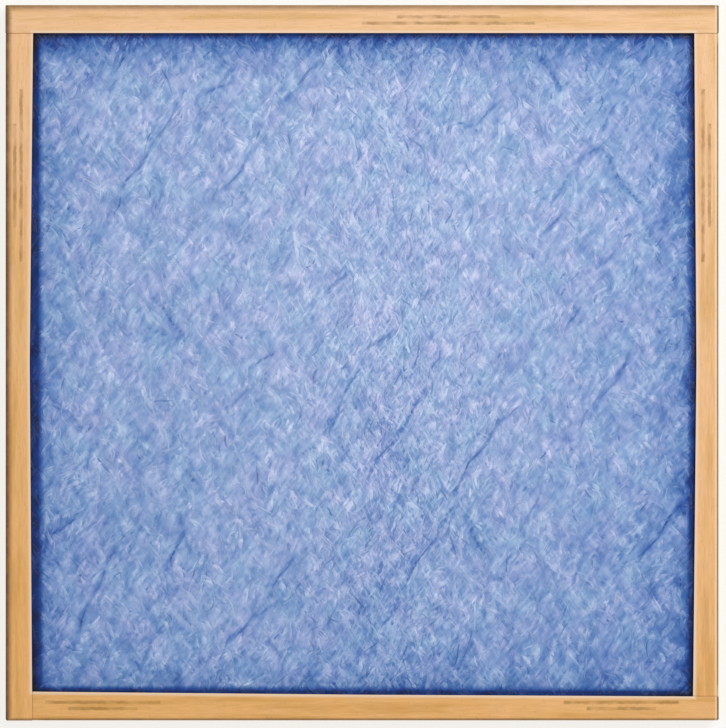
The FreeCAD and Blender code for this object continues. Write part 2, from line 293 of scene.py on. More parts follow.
def front_gaps(x, y):
    """How far each point lies inside each edge of the front window."""
    return gaps_inside(x, y, LEFT_FLANGE, RIGHT_FLANGE, BOTTOM_FLANGE, TOP_FLANGE)


def back_gaps(x, y):
    """How far each point lies inside each edge of the back window."""
    return gaps_inside(x, y, BACK_FLANGE, BACK_FLANGE, BACK_FLANGE, BACK_FLANGE)


def out_of_rim(x, y, gaps, shown, tone):
    """The tone of the open pad, falling to the rim's, which is partly painted shade, where that shows inside
    a window's edges, and to 0 in the painted shade of the gap under the flanges. That shade is full to half
    the gap's width and gone at one and a half, and dies away from the window's corners."""
    open_share = ease((gaps - side_widths(x, y, *shown)) / RIM_FADE + 0.5).min(axis=0)
    # Painted shade of the gap under the flanges, strongest near the window's corners
    gap_shade_depth = ease(1.5 - gaps / per_side(GAP_SHADE_SHOWN, x)).max(axis=0)
    from_corner = np.maximum(np.sort(gaps, axis=0)[1], 0)
    gap_shade_share = gap_shade_depth * np.exp(-from_corner / GAP_SHADE_RUN)
    # The rim's tone, dark partly as pinched glass and partly as painted shade
    rim = RIM_AND_SHADE_TONE + RIM_WAVER * (lattice_noise(x, y, RIM_PATCH, 29) - 0.45)
    return (rim + (np.clip(tone, *OPEN_TONES) - rim) * open_share) * (1 - gap_shade_share)


def parting_depth(x, y):
    """How deep the partings are at each point, from 0 to 1: a bell across each one's swaying line, fading
    past its ends."""
    deepest = np.zeros_like(x)
    for x0, y0, x1, y1, depth in PARTINGS:
        start, way = np.array([x0, y0]) * MM, np.array([x1 - x0, y1 - y0]) * MM
        length = np.hypot(*way)
        way = way / length
        along = (x - start[0]) * way[0] + (y - start[1]) * way[1]
        sway = PARTING_SWAY * np.sin(along / PARTING_TURN + x0)
        across = (x - start[0]) * way[1] - (y - start[1]) * way[0] - sway
        beyond = along - np.clip(along, 0, length)
        bell = np.exp(-(across**2 + beyond**2) / PARTING_WIDTH**2)
        deepest = np.maximum(deepest, depth * bell)
    return deepest


def net_lines(x, y, width, length, spread, seed):
    """1 on the lines of a net and 0 off them: a bell round the middle value of each of two crossing
    families of streaks."""
    families = crossing_streaks(x, y, width, (length, length), seed)
    return np.maximum(*(np.exp(-(((family - 0.5) / spread) ** 2)) for family in families))


def mottle(x, y):
    """Streaky change of tone about 0, bent by a slow sway: the paler of two crossing families of streaks,
    less a fine net of deep lines, both stronger away from the pad's middle, and less a coarse net. Its mean
    is taken off each."""
    bend_x = MOTTLE_SWAY * (lattice_noise(x, y, MOTTLE_PATCH, 21) - 0.5)
    bend_y = MOTTLE_SWAY * (lattice_noise(x, y, MOTTLE_PATCH, 22) - 0.5)
    x, y = x + bend_x, y + bend_y
    pale = np.maximum(*crossing_streaks(x, y, *PALE_STREAKS, 25))
    coarse = net_lines(x, y, *COARSE_NET, 45)
    fine = net_lines(x, y, *FINE_NET, 47)
    strength = MOTTLE_OUTER - (MOTTLE_OUTER - 1) * middle_share(x, y)
    streaks = PALE_TONE * (pale - PALE_MEAN) - FINE_TONE * (fine - FINE_MEAN)
    return strength * streaks - COARSE_TONE * (coarse - COARSE_MEAN)


def middle_share(x, y):
    """1 a little above and right of the pad's middle, falling away from it as a bell."""
    across, up = (x - MIDDLE[0]) / MIDDLE_REACH[0], (y - MIDDLE[1]) / MIDDLE_REACH[1]
    return np.exp(-(across**2) - up**2)


def crisp_share(x, y):
    """1 where single strands stand out most: a bell across a band up the pad, a little right of its middle,
    times one along it that never falls below its least share."""
    band = np.exp(-(((x - CRISP_X) / CRISP_WIDTH) ** 2))
    along = np.exp(-(((y - CRISP_Y) / CRISP_REACH) ** 2))
    return band * (CRISP_LEAST + (1 - CRISP_LEAST) * along)


def slow_tone(x, y, gaps):
    """The pad's slow change of tone about 0: palest near its middle and paler towards its top, as painted
    light, deeper along its edges, at its right and in its corners, as painted shade, and in loose patches
    near its edges."""
    inside = gaps.min(axis=0)
    far = ease(inside / INSIDE_REACH)
    beside = (per_side(EDGE_SHADE, x) * np.exp(-np.maximum(gaps, 0) / per_side(EDGE_WIDTH, x))).max(axis=0)
    patches = ease((lattice_noise(x, y, PATCH_SIZE, 27) - PATCH_START) / PATCH_FADE)
    patches = patches * (1 - ease(inside / PATCH_REACH))
    clouds = lattice_noise(x, y, CLOUD_SIZE, 28) - 0.5
    corner = (x * y / (HALF_X * HALF_Y)) ** 2
    # Painted light in the middle, well inside the edges and towards the top; painted shade beside the edges,
    # at the right and in the corners
    return (
        MIDDLE_LIGHT * (middle_share(x, y) - MIDDLE_MEAN)
        + INSIDE_LIGHT * (far - INSIDE_MEAN)
        - beside
        - PATCH_DEPTH * patches
        + CLOUD_TONE * clouds
        + TOP_LIGHT * y / HALF_Y
        - RIGHT_SHADE * x / HALF_X
        - CORNER_SHADE * corner
    )


def front_tone(x, y, own):
    """Tone of the glass on the front, with a strand's own share added."""
    gaps = front_gaps(x, y)
    # The partings are darkened by painted shade
    tone = GLASS_TONE + slow_tone(x, y, gaps) + mottle(x, y) - PARTING_SHADE * parting_depth(x, y) + own
    return out_of_rim(x, y, gaps, RIM_AND_SHADE_SHOWN, tone)


def back_tone(x, y, own):
    """Tone of the glass on the back, where it is a little deeper and the rim is narrow."""
    gaps = back_gaps(x, y)
    tone = GLASS_TONE - BACK_DEEPER + slow_tone(-x, y, gaps) + mottle(-x, y) + own
    return out_of_rim(x, y, gaps, BACK_RIM_AND_SHADE_SHOWN, tone)


def front_height(x, y):
    """The front of the bed: level at its rim, rolled up inside the window, with crossing bundles, and a
    groove at each parting."""
    rise = ease(front_gaps(x, y).min(axis=0) / ROLL_WIDTH)
    bundles = np.maximum(*crossing_streaks(x, y, BUNDLE_WIDTH, (BUNDLE_LENGTH, BUNDLE_LENGTH), 11))
    relief = BED_RELIEF * (bundles - 0.5) - GROOVE * parting_depth(x, y)
    return FRONT - RIM_RECESS + rise * (RIM_RECESS - CROWN_RECESS + relief)


def back_height(x, y):
    """The back of the bed: level where it lies on the flanges, swelling into the back window."""
    rise = ease(back_gaps(x, y).min(axis=0) / ROLL_WIDTH)
    bundles = streak_noise(x, y, -LEAN, BUNDLE_WIDTH, BUNDLE_LENGTH, 13)
    return BACK_RECESS - rise * (BACK_SWELL + BACK_RELIEF * (bundles - 0.5))


# Meshes

def new_piece(name, points, face_sets, material, smooth):
    """A mesh object at the origin, from an array of points and arrays of faces, one for each number of
    corners."""
    loops = np.concatenate([faces.ravel() for faces in face_sets])
    sizes = np.concatenate([np.full(len(faces), faces.shape[1]) for faces in face_sets])
    starts = np.concatenate([[0], np.cumsum(sizes)[:-1]])
    mesh = bpy.data.meshes.new(name)
    mesh.vertices.add(len(points))
    mesh.vertices.foreach_set("co", points.astype(np.float32).ravel())
    mesh.loops.add(len(loops))
    mesh.loops.foreach_set("vertex_index", loops.astype(np.int32))
    mesh.polygons.add(len(sizes))
    mesh.polygons.foreach_set("loop_start", starts.astype(np.int32))
    mesh.polygons.foreach_set("use_smooth", np.full(len(sizes), smooth))
    mesh.update(calc_edges=True)
    mesh.materials.append(material)
    piece = bpy.data.objects.new(name, mesh)
    bpy.context.scene.collection.objects.link(piece)
    return piece


def set_values(piece, name, values):
    """Stores a value or a vector for each vertex, for the piece's material."""
    kind, field = ("FLOAT", "value") if values.ndim == 1 else ("FLOAT_VECTOR", "vector")
    layer = piece.data.attributes.new(name, kind, "POINT")
    layer.data.foreach_set(field, values.astype(np.float32).ravel())


def make_bed(material):
    """The matted bed: a grid over the front at its height, the same grid over the back, and a strip of
    squares round the rim between them, so that the mesh is closed."""
    counts = [round((high - low) / BED_STEP) + 1 for low, high in zip(PAD_LOW[:2], PAD_HIGH[:2])]
    xs, ys = (np.linspace(*ends) for ends in zip(PAD_LOW[:2], PAD_HIGH[:2], counts))
    x, y = (values.ravel() for values in np.meshgrid(xs, ys, indexing="ij"))
    front = np.stack([x, y, front_height(x, y)], axis=1)
    back = np.stack([x, y, back_height(x, y)], axis=1)
    index = np.arange(len(x)).reshape(counts)
    corners = index[:-1, :-1], index[1:, :-1], index[1:, 1:], index[:-1, 1:]
    squares = np.stack(corners, axis=-1).reshape(-1, 4)
    rim = np.concatenate([index[:-1, 0], index[-1, :-1], index[:0:-1, -1], index[0, :0:-1]])
    after = np.roll(rim, -1)
    under = len(x)
    walls = np.stack([rim + under, after + under, after, rim], axis=1)
    faces = np.concatenate([squares, squares[:, ::-1] + under, walls])
    bed = new_piece("glass_bed", np.concatenate([front, back]), [faces], material, True)
    # The bed is painted deeper under the strands, as painted shade
    set_values(bed, "tone", np.concatenate([front_tone(x, y, -BED_SHADE), back_tone(x, y, -BED_SHADE)]))
    set_values(bed, "crisp", np.concatenate([crisp_share(x, y)] * 2))
    return bed


def swings(rng, t, count, turns):
    """A sine along each of a number of strands, which makes its own number of turns from its own start."""
    return np.sin(2 * math.pi * (t * rng.uniform(*turns, (count, 1)) + rng.random((count, 1))))


def strand_lines(rng, count, points, lock, length, width, deep_share, kept):
    """Centre lines of strands seen from above, in locks of a few that lie side by side. A lock heads along
    one of the two leans or near it, turned by a slow field. A strand's heading changes steadily along it
    and sways by a sine. Its points are the running sums of that heading's cosine and sine, moved to its
    place in its lock. A share of the strands, given for outside and inside the crisp band, is deep in tone.
    All strands inside that band are kept, and the kept share of those outside it. Returns x, y and heading
    along each strand, and each strand's own tone, one row a strand."""
    locks = -(-count // lock)
    half_x, half_y = PAD_HIGH[0] - LOCK_MARGIN, PAD_HIGH[1] - LOCK_MARGIN
    lock_x, lock_y = rng.uniform(-half_x, half_x, locks), rng.uniform(-half_y, half_y, locks)
    family = np.where(rng.random(locks) < RIGHT_LEANING, 1.0, -1.0)
    turn = LOCK_TURN * (lattice_noise(lock_x, lock_y, LOCK_FIELD, 31) - 0.5)
    lean = LEAN * (OUTER_LEAN - LEAN_DROP * middle_share(lock_x, lock_y))
    heading = math.pi / 2 - family * lean + turn + rng.normal(0, LOCK_SCATTER, locks)
    bend = rng.normal(0, LOCK_BEND, locks)
    tone = rng.normal(0, LOCK_TONE, locks)

    def per_strand(values):
        return np.repeat(values, lock)[:count]

    heading = per_strand(heading) + rng.normal(0, STRAND_SCATTER, count)
    bend = per_strand(bend) + np.where(rng.random(count) < CURLED, rng.normal(0, CURL, count), 0)
    reach = length * rng.lognormal(0, LENGTH_SPREAD, count).clip(*LENGTH_LIMITS)
    t = np.linspace(0, 1, points)
    sway = SWAY * swings(rng, t, count, SWAY_TURNS)
    angle = heading[:, None] + bend[:, None] * (t - 0.5) + sway
    step = (reach / (points - 1))[:, None]
    x, y = np.cumsum(np.cos(angle) * step, axis=1), np.cumsum(np.sin(angle) * step, axis=1)
    aside = rng.normal(0, STRAND_ASIDE * width, count)
    onward = rng.normal(0, STRAND_ONWARD * length, count)
    middle_x = per_strand(lock_x) - aside * np.sin(heading) + onward * np.cos(heading)
    middle_y = per_strand(lock_y) + aside * np.cos(heading) + onward * np.sin(heading)
    x += (middle_x - x.mean(axis=1))[:, None]
    y += (middle_y - y.mean(axis=1))[:, None]
    limit_x, limit_y = PAD_HIGH[0] - STRAND_MARGIN, PAD_HIGH[1] - STRAND_MARGIN
    crisp = crisp_share(middle_x, middle_y)
    deep = np.where(rng.random(count) < np.interp(crisp, (0, 1), deep_share), DEEP_TONE, 0)
    own = per_strand(tone) + rng.normal(0, STRAND_TONE, count) - deep
    keep = rng.random(count) < np.interp(crisp, (0, 1), (kept, 1))
    return x.clip(-limit_x, limit_x)[keep], y.clip(-limit_y, limit_y)[keep], angle[keep], own[keep, None]


def clear_of_partings(x, y, angle, own):
    """Only the strands that no parting crosses, at their points or half way between them."""
    between_x, between_y = (0.5 * (line[:, 1:] + line[:, :-1]) for line in (x, y))
    deepest = np.maximum(parting_depth(x, y).max(axis=1), parting_depth(between_x, between_y).max(axis=1))
    clear = deepest < CLEARED
    return x[clear], y[clear], angle[clear], own[clear]


def parting_lines(rng, points, each):
    """Centre lines of the dark strands that lie along the partings as their painted shade, a few to each: a
    part of the parting's swaying line, moved a little aside."""
    line = np.repeat(np.array(PARTINGS, dtype=float), each, axis=0)
    start_x, start_y = line[:, 0:1] * MM, line[:, 1:2] * MM
    way_x, way_y = line[:, 2:3] * MM - start_x, line[:, 3:4] * MM - start_y
    length = np.hypot(way_x, way_y)
    way_x, way_y = way_x / length, way_y / length
    count = len(line)
    low, high = rng.uniform(-0.1, 0.45, (count, 1)), rng.uniform(0.6, 1.1, (count, 1))
    along = length * (low + (high - low) * np.linspace(0, 1, points))
    aside = rng.normal(0, PARTING_SCATTER, (count, 1))
    across = PARTING_SWAY * np.sin(along / PARTING_TURN + line[:, 0:1]) + aside
    x, y = start_x + along * way_x + across * way_y, start_y + along * way_y - across * way_x
    angle = np.arctan2(np.gradient(y, axis=1), np.gradient(x, axis=1))
    return x, y, angle, -DEEP_TONE * line[:, 4:5]


def tube_faces(count, points, up):
    """The squares along a number of three-sided tubes and the triangles that close their ends, facing
    outwards on the front, up being 1, and turned over on the back."""
    first = 3 * (np.arange(count)[:, None, None] * points + np.arange(points - 1)[:, None])
    corner = np.arange(3)
    here, after = first + corner, first + (corner + 1) % 3
    sides = np.stack([here, after, after + 3, here + 3], axis=-1).reshape(-1, 4)
    start = 3 * points * np.arange(count)[:, None]
    end = start + 3 * (points - 1)
    caps = np.concatenate([start + [0, 2, 1], end + [0, 1, 2]])
    return [sides, caps] if up > 0 else [sides[:, ::-1], caps[:, ::-1]]


def strand_lay(x, y, wide):
    """Each corner's place across its strand, along it and from strand to strand, which its filaments
    follow."""
    step_x, step_y = (np.diff(line, axis=1, prepend=line[:, :1]) for line in (x, y))
    along = np.hypot(step_x, step_y).cumsum(axis=1)
    across = wide[..., None] * np.array([-0.5, 0.5, 0])
    apart = np.arange(len(x))[:, None, None] * MM
    return np.stack(np.broadcast_arrays(across, along[..., None], apart), axis=-1).reshape(-1, 3)


def make_strands(name, rng, lines, width, low, high, up, material):
    """Strands on one face of the bed, up being 1 on the front and -1 on the back. Each is a closed
    three-sided tube: flat below, ridged along its middle, and tapered by an arch, the power of a sine,
    which also lifts it out of the bed between its ends. They lie between a low and a high share of the
    pile."""
    height, tone_of = (front_height, front_tone) if up > 0 else (back_height, back_tone)
    x, y, angle, own = lines
    count, points = x.shape
    t = np.linspace(0, 1, points)
    arch = np.sin(math.pi * (ARCH_CUT + (1 - 2 * ARCH_CUT) * t)) ** ARCH_POWER
    layer = PILE * rng.uniform(low, high, (count, 1))
    weave = WEAVE * swings(rng, t, count, WEAVE_TURNS)
    z = height(x, y) + up * ((layer + weave) * arch - DIP * (1 - arch))
    wide = width * rng.lognormal(0, WIDTH_SPREAD, (count, 1)).clip(*WIDTH_LIMITS) * arch
    middle = np.stack([x, y, z], axis=-1)
    side = np.stack([-np.sin(angle), np.cos(angle), np.zeros_like(angle)], axis=-1)
    half = 0.5 * wide[..., None] * side
    ridge = wide[..., None] * np.array([0, 0, up * STRAND_RISE])
    corners = np.stack([middle - half, middle + half, middle + ridge], axis=2).reshape(-1, 3)
    piece = new_piece(name, corners, tube_faces(count, points, up), material, False)
    # Higher strands are painted paler and lower ones deeper, as painted light and shade in the pile
    tone = tone_of(x, y, own + PILE_SHADE_TONE * (layer / PILE - 0.5))
    set_values(piece, "tone", np.repeat(tone.ravel(), 3))
    set_values(piece, "crisp", np.repeat(crisp_share(x, y).ravel(), 3))
    set_values(piece, "lay", strand_lay(x, y, wide))
    return piece


# Materials

def linear(red, green, blue):
    """A screen colour from 0 to 255 as a shader's linear colour."""
    share = np.array([red, green, blue]) / 255
    return (*np.where(share <= 0.04045, share / 12.92, ((share + 0.055) / 1.055) ** 2.4), 1.0)


def plug(tree, socket, value):
    """Links a socket to another node's output, or sets it to a plain value."""
    if isinstance(value, bpy.types.NodeSocket):
        tree.links.new(value, socket)
    else:
        socket.default_value = value


def calc(tree, operation, *values, clamp=False):
    """A Math node over sockets and numbers."""
    node = tree.nodes.new("ShaderNodeMath")
    node.operation = operation
    node.use_clamp = clamp
    for socket, value in zip(node.inputs, values):
        plug(tree, socket, value)
    return node.outputs[0]


def fade(tree, value, start, end, low=0.0, high=1.0):
    """A smooth change from low to high as a value goes from start to end."""
    node = tree.nodes.new("ShaderNodeMapRange")
    node.interpolation_type = "SMOOTHSTEP"
    for socket, given in zip(node.inputs, (value, start, end, low, high)):
        plug(tree, socket, given)
    return node.outputs[0]


def blend(tree, share, first, second, kind="MIX"):
    """A mix of two colours."""
    node = tree.nodes.new("ShaderNodeMix")
    node.data_type = "RGBA"
    node.blend_type = kind
    plug(tree, node.inputs["Factor"], share)
    colours = [socket for socket in node.inputs if socket.type == "RGBA"]
    plug(tree, colours[0], first)
    plug(tree, colours[1], second)
    return next(socket for socket in node.outputs if socket.type == "RGBA")


def ramp(tree, value, stops):
    """A colour ramp over a value, from stops of a place and a screen colour."""
    node = tree.nodes.new("ShaderNodeValToRGB")
    elements = node.color_ramp.elements
    for element, (place, colour) in zip(elements, (stops[0], stops[-1])):
        element.position, element.color = place, linear(*colour)
    for place, colour in stops[1:-1]:
        elements.new(place).color = linear(*colour)
    plug(tree, node.inputs[0], value)
    return node.outputs[0]


def stretched(tree, place, scale):
    """Coordinates times a scale for each axis."""
    node = tree.nodes.new("ShaderNodeVectorMath")
    node.operation = "MULTIPLY"
    plug(tree, node.inputs[0], place)
    node.inputs[1].default_value = scale
    return node.outputs[0]


def noise(tree, place, scale, detail=2.0):
    """Noise from about 0.3 to 0.7 over coordinates in metres, scale being cells in a metre."""
    node = tree.nodes.new("ShaderNodeTexNoise")
    plug(tree, node.inputs["Vector"], place)
    node.inputs["Scale"].default_value = scale
    node.inputs["Detail"].default_value = detail
    return node.outputs["Fac"]


def bump(tree, height, strength, depth):
    """A normal from a height field, depth being its height in metres."""
    node = tree.nodes.new("ShaderNodeBump")
    node.inputs["Strength"].default_value = strength
    node.inputs["Distance"].default_value = depth
    plug(tree, node.inputs["Height"], height)
    return node.outputs["Normal"]


def new_material(name, roughness, specular):
    """A material with an empty tree but for its shader."""
    material = bpy.data.materials.new(name)
    material.use_nodes = True
    tree = material.node_tree
    tree.nodes.clear()
    shader = tree.nodes.new("ShaderNodeBsdfPrincipled")
    tree.links.new(shader.outputs[0], tree.nodes.new("ShaderNodeOutputMaterial").inputs[0])
    shader.inputs["Roughness"].default_value = roughness
    shader.inputs["Specular IOR Level"].default_value = specular
    return material, tree, shader


def object_place(tree):
    """Object coordinates, in metres."""
    return tree.nodes.new("ShaderNodeTexCoord").outputs["Object"]


# The cast that tints the glass from cyan to lilac, and the cells in a metre of its noise and of the
# filaments' noise in the bed and on a strand
GLASS_CASTS = ((0.35, (243, 254, 253)), (0.65, (255, 249, 254)))
CAST_CELLS = 45
BED_CELLS = 600
STRAND_CELLS = 1000


def glass_tint_group():
    """The glass's colour: from its tone and a fine grain, which is weak in the darkest tones, turned a
    little to lilac or to cyan in patches by a cast."""
    tree = bpy.data.node_groups.new("glass_tint", "ShaderNodeTree")
    tree.interface.new_socket("Tone", in_out="INPUT", socket_type="NodeSocketFloat")
    tree.interface.new_socket("Grain", in_out="INPUT", socket_type="NodeSocketFloat")
    tree.interface.new_socket("Depth", in_out="INPUT", socket_type="NodeSocketFloat")
    tree.interface.new_socket("Color", in_out="OUTPUT", socket_type="NodeSocketColor")
    given = tree.nodes.new("NodeGroupInput")
    place = object_place(tree)
    centred = calc(tree, "SUBTRACT", given.outputs["Grain"], 0.5)
    lit = fade(tree, given.outputs["Tone"], 0.0, 0.4, 0.1, 1.0)
    depth = calc(tree, "MULTIPLY", given.outputs["Depth"], lit)
    grain = calc(tree, "MULTIPLY_ADD", centred, depth, given.outputs["Tone"])
    colour = ramp(tree, calc(tree, "MAXIMUM", grain, 0.0), GLASS_COLOURS)
    cast = ramp(tree, noise(tree, place, CAST_CELLS, 2.0), GLASS_CASTS)
    tinted = blend(tree, 1.0, colour, cast, "MULTIPLY")
    tree.links.new(tinted, tree.nodes.new("NodeGroupOutput").inputs["Color"])
    return tree


def glass_tint(tree, group, grain, plain, added):
    """The glass's colour in a material, from its piece's tone and the material's own grain, which takes a
    plain share of the tone's range, and an added one where the pad is crisp."""
    node = tree.nodes.new("ShaderNodeGroup")
    node.node_tree = group
    tone = tree.nodes.new("ShaderNodeAttribute")
    tone.attribute_name = "tone"
    tree.links.new(tone.outputs["Fac"], node.inputs["Tone"])
    tree.links.new(grain, node.inputs["Grain"])
    crisp = tree.nodes.new("ShaderNodeAttribute")
    crisp.attribute_name = "crisp"
    tree.links.new(calc(tree, "MULTIPLY_ADD", crisp.outputs["Fac"], added, plain), node.inputs["Depth"])
    return node.outputs["Color"]


def bed_material(group):
    """Matted glass: filaments drawn out along both leans, pale over deep, clearest in the crisp band."""
    material, tree, shader = new_material("spun_glass_bed", roughness=0.75, specular=0.3)
    place = object_place(tree)
    layers = []
    for lean in (LEAN, -LEAN):
        turned = tree.nodes.new("ShaderNodeMapping")
        turned.inputs["Rotation"].default_value = (0, 0, lean)
        tree.links.new(place, turned.inputs["Vector"])
        layers.append(noise(tree, stretched(tree, turned.outputs[0], (1.0, 0.2, 1.0)), BED_CELLS, 2.5))
    filaments = calc(tree, "MAXIMUM", *layers)
    grain = fade(tree, filaments, 0.42, 0.72)
    tree.links.new(glass_tint(tree, group, grain, plain=0.10, added=0.22), shader.inputs["Base Color"])
    tree.links.new(bump(tree, filaments, strength=0.25, depth=0.35 * MM), shader.inputs["Normal"])
    return material


def strand_material(group):
    """A strand of spun glass: a bundle of filaments that run along it, with a slight glint."""
    material, tree, shader = new_material("spun_glass_strands", roughness=0.5, specular=0.4)
    lay = tree.nodes.new("ShaderNodeAttribute")
    lay.attribute_name = "lay"
    filaments = noise(tree, stretched(tree, lay.outputs["Vector"], (9.0, 0.25, 1.0)), STRAND_CELLS, 2.0)
    grain = fade(tree, filaments, 0.3, 0.7)
    tree.links.new(glass_tint(tree, group, grain, plain=0.05, added=0.20), shader.inputs["Base Color"])
    tree.links.new(bump(tree, filaments, strength=0.12, depth=0.1 * MM), shader.inputs["Normal"])
    return material


# Faded ink on the front flanges: pairs of plain worn bars, the outer one shorter. Each pair's middle in
# millimetres from the middle of the frame, X then Y, its inner bar's length, and whether it runs along X.
# Then the bars' width and spacing, the outer one's share of the length, their soft and ragged edges, the
# cells in a metre of those edges' and of the wear's noise, their strength, and how far down the ink reaches
INKED = (
    ((60, 238), 120, True),
    ((-180, -238), 80, True),
    ((180, -238), 80, True),
    ((-239, 130), 120, False),
    ((239, 130), 120, False),
)
INK_WIDTH = 2.2 * MM
INK_STEP = 4.4 * MM
INK_OUTER = 0.6
INK_SOFT = 0.5 * MM
INK_RAGGED = 1.2 * MM
RAGGED_CELLS = 330
INK_WORN_CELLS = 110
INK_STRENGTH = 0.6
INK_REACH = 1.0 * MM

# The board's thickness, with a little room, and its colours on screen
BOARD = 0.7 * MM
BOARD_BROWN = (230, 176, 107)
BOARD_PALE = (239, 195, 148)
FLECK_BROWN = (176, 128, 78)
FOLD_SHADE_BROWN = (106, 73, 40)
HIGHLIGHT_PALE = (238, 212, 182)
EDGE_HIGHLIGHT_PALE = (236, 207, 178)
LAP_SHADOW_BROWN = (120, 86, 54)
INK_BROWN = (138, 98, 32)

# The board's grain and its longer streaks: the cells in a metre of their noise, and how far each is drawn
# out. Then the cells of its flecks, its clouds and the uneven painted shade on its folds
GRAIN_CELLS, GRAIN_DRAWN = 950, 0.10
STREAK_CELLS, STREAK_DRAWN = 190, 0.06
STREAK_STAINS = ((0.36, (238, 231, 208)), (0.5, (252, 249, 246)), (0.64, (255, 251, 252)))
FLECK_CELLS = 330
CLOUD_CELLS = 45
FOLD_SHADE_CELLS = 160

# How dark the painted shade on the outer folds is, and how far in that reaches. Then the painted highlight
# beside the right fold, the painted highlight along the free edges, and the painted shadow line at each lap,
# which stops short of the frame's walls
FOLD_SHADE = {
    "left": (0.98, 5.8 * MM),
    "top": (0.70, 5.4 * MM),
    "bottom": (0.72, 2.5 * MM),
    "right": (0.95, 1.6 * MM),
}
FOLD_CORE = 0.6 * MM
HIGHLIGHT_INSIDE = 2.0 * MM
HIGHLIGHT_HALF = 0.45 * MM
HIGHLIGHT_STRENGTH = 0.8
EDGE_HIGHLIGHT_FROM, EDGE_HIGHLIGHT_TO = 0.6 * MM, 2.8 * MM
EDGE_HIGHLIGHT_STRENGTH = 0.92
LAP_OUTSIDE = 0.3 * MM
LAP_HALF = 0.2 * MM
LAP_SHADOW_STRENGTH = 0.55
OFF_WALLS = 0.8 * MM


def near_band(tree, value, middle, half, soft):
    """1 where a value lies within half of a middle, fading out over a soft edge."""
    off = calc(tree, "ABSOLUTE", calc(tree, "SUBTRACT", value, middle))
    return fade(tree, off, half + soft, half - soft)


def inked(tree, place, x, y):
    """Where the front flanges are inked: each pair's two parallel bars, with uneven edges and worn
    patches."""
    ink = 0.0
    uneven = calc(tree, "SUBTRACT", noise(tree, place, RAGGED_CELLS, 1.0), 0.5)
    ragged = calc(tree, "MULTIPLY", uneven, INK_RAGGED)
    for (middle_x, middle_y), length, level in INKED:
        along, middle, across, beside = (x, middle_x, y, middle_y) if level else (y, middle_y, x, middle_x)
        outwards = math.copysign(1, beside)
        for side, share in ((-1, 1.0), (1, INK_OUTER)):
            row = beside * MM + outwards * side * INK_STEP / 2
            bar = calc(
                tree, "MULTIPLY",
                near_band(tree, along, middle * MM, share * length * MM / 2, INK_SOFT),
                near_band(tree, calc(tree, "ADD", across, ragged), row, INK_WIDTH / 2, INK_SOFT),
            )
            ink = calc(tree, "MAXIMUM", bar, ink)
    wear_and_shade = fade(tree, noise(tree, place, INK_WORN_CELLS, 1.0), 0.3, 0.65, 0.35, 1.0)
    return calc(tree, "MULTIPLY", ink, wear_and_shade)


def past_edge(tree, gap, along, half, widths):
    """How far a point lies outwards of a flange's free edge, gap being its distance from the frame's
    outside and along its place from the side's middle. The edge runs straight from its ends to its
    middle."""
    at_start, at_middle, at_end = widths
    place = calc(tree, "DIVIDE", along, half)
    upper = calc(tree, "MULTIPLY", calc(tree, "MAXIMUM", place, 0.0), at_end - at_middle)
    lower = calc(tree, "MULTIPLY", calc(tree, "MINIMUM", place, 0.0), at_middle - at_start)
    width = calc(tree, "ADD", calc(tree, "ADD", upper, lower), at_middle)
    return calc(tree, "SUBTRACT", width, gap)


def wall_gaps(tree, x, y):
    """How far a point lies inside the frame's outside at each side."""
    return {
        "left": calc(tree, "ADD", x, HALF_X),
        "right": calc(tree, "SUBTRACT", HALF_X, x),
        "bottom": calc(tree, "ADD", y, HALF_Y),
        "top": calc(tree, "SUBTRACT", HALF_Y, y),
    }


def flange_places(tree, x, y, gaps):
    """How far a point lies outwards of each front flange's free edge."""
    return {
        "left": past_edge(tree, gaps["left"], y, HALF_Y, LEFT_FLANGE),
        "right": past_edge(tree, gaps["right"], y, HALF_Y, RIGHT_FLANGE),
        "bottom": past_edge(tree, gaps["bottom"], x, HALF_X, BOTTOM_FLANGE),
        "top": past_edge(tree, gaps["top"], x, HALF_X, TOP_FLANGE),
    }


def upright_board(tree, gaps, past):
    """1 where the strip of board runs up the picture: on the side walls, and on the side flanges where no
    other flange laps over them."""
    below_top = calc(tree, "LESS_THAN", past["top"], 0.0)
    above_bottom = calc(tree, "LESS_THAN", past["bottom"], 0.0)
    on_left = calc(tree, "GREATER_THAN", past["left"], 0.0)
    flange = calc(tree, "MULTIPLY", below_top, calc(tree, "MAXIMUM", on_left, above_bottom))
    wall = calc(tree, "LESS_THAN", calc(tree, "MINIMUM", gaps["left"], gaps["right"]), BOARD)
    return calc(tree, "MAXIMUM", flange, wall)


def board_noise(tree, place, upright, cells, drawn):
    """Noise drawn out along the strip of board, whichever way that runs."""
    level = noise(tree, stretched(tree, place, (drawn, 1.0, 1.0)), cells, 3.0)
    rising = noise(tree, stretched(tree, place, (1.0, drawn, 1.0)), cells, 3.0)
    turned = calc(tree, "MULTIPLY", upright, calc(tree, "SUBTRACT", rising, level))
    return calc(tree, "ADD", turned, level)


